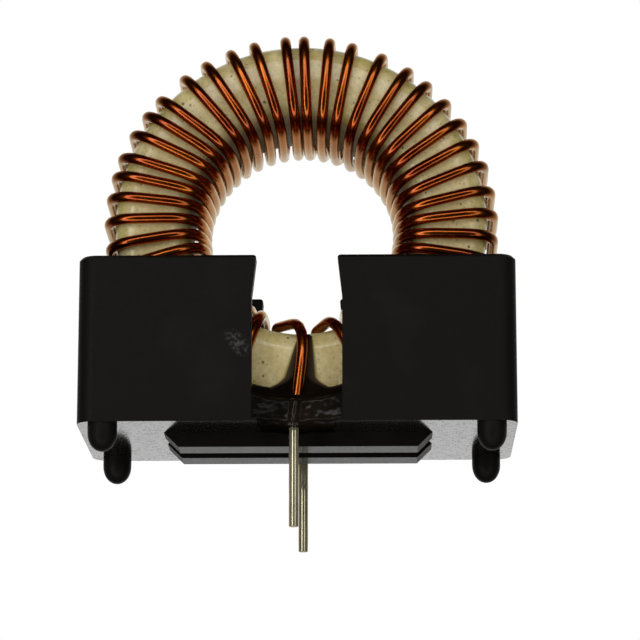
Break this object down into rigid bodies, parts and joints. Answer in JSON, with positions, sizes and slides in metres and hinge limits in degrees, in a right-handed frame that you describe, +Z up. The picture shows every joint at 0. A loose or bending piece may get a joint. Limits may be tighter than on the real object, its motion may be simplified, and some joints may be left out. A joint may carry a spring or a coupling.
{
  "type": "fixed inductor",
  "caption": "Upright through-hole power inductor: a coated ring core wound with one layer of enamelled copper wire, held in a black moulded header with tinned leads and locating pegs.",
  "frame": {"origin": "centre of the header's four pegs, on the board's face where the header's ribs stand", "axes": "+Z up from the board, X along the header's length, Y along the ring's axis, with the front lead at -Y"},
  "size_m": [0.0276, 0.0134, 0.0327],
  "materials": {
    "core_coat": "baked coat, semi-gloss",
    "enamelled_wire": "enamelled copper, glossy",
    "tinned_wire": "tinned, bright",
    "black_moulding": "moulded, satin",
    "dark_resin": "cured resin, glossy"
  },
  "bodies": {
    "root": {"core": "core_coat", "winding": "enamelled_wire", "front_lead": "tinned_wire", "rear_lead": "tinned_wire", "header": "black_moulding", "front_adhesive": "dark_resin", "rear_adhesive": "dark_resin"}
  },
  "joints": []
}
